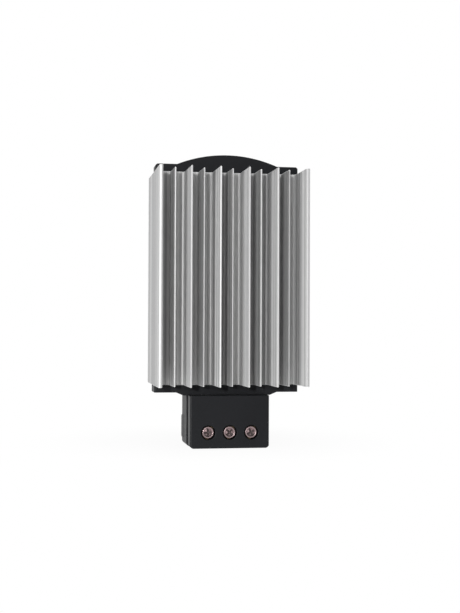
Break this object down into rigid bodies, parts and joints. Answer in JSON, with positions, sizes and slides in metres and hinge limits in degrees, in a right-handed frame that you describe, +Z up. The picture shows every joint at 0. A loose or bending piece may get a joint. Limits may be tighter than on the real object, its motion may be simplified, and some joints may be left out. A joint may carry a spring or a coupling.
{
  "type": "enclosure heater",
  "caption": "Rail-mounted convection heater for control cabinets: finned aluminium profile, black end caps, terminal box with clamp screws below, rail clip behind.",
  "frame": {"origin": "on the rail clip's seat: middle of the clip's width, centre line of the rail, plane of the rail's front", "axes": "+Z up along the fins; +X right seen from the front; +Y back, towards the rail"},
  "size_m": [0.07, 0.0551, 0.1384],
  "materials": {
    "anodised_aluminium": "natural anodised, fine lengthwise extrusion lines",
    "black_plastic": "moulded, fine matt texture",
    "copper_plated_screw": "copper-plated, satin",
    "zinc_steel": "zinc-plated, satin",
    "brass_block": "machined",
    "tinned_strip": "bright rolled",
    "stone_ceramic": "silvered faces",
    "insulating_film": "amber film",
    "lead_red": "insulation",
    "lead_blue": "insulation",
    "lead_green_yellow": "insulation"
  },
  "bodies": {
    "root": {"heatsink_profile": "anodised_aluminium", "top_cap": "black_plastic", "top_cap_screws": "zinc_steel", "terminal_base": "black_plastic", "base_screws": "zinc_steel", "terminal_cover": "black_plastic", "terminal_screw_live": "copper_plated_screw", "terminal_screw_neutral": "copper_plated_screw", "terminal_screw_earth": "copper_plated_screw", "clamp_block_live": "brass_block", "clamp_block_neutral": "brass_block", "clamp_block_earth": "brass_block", "live_lead": "lead_red", "neutral_lead": "lead_blue", "earth_lead": "lead_green_yellow", "earth_lug": "tinned_strip", "earth_screw": "zinc_steel", "heating_stones": "stone_ceramic", "electrode_front": "tinned_strip", "electrode_rear": "tinned_strip", "insulating_sleeve": "insulating_film", "pressing_wedge": "anodised_aluminium", "rail_clip": "zinc_steel", "clip_nut_plate": "zinc_steel", "clip_screws": "zinc_steel"}
  },
  "joints": []
}
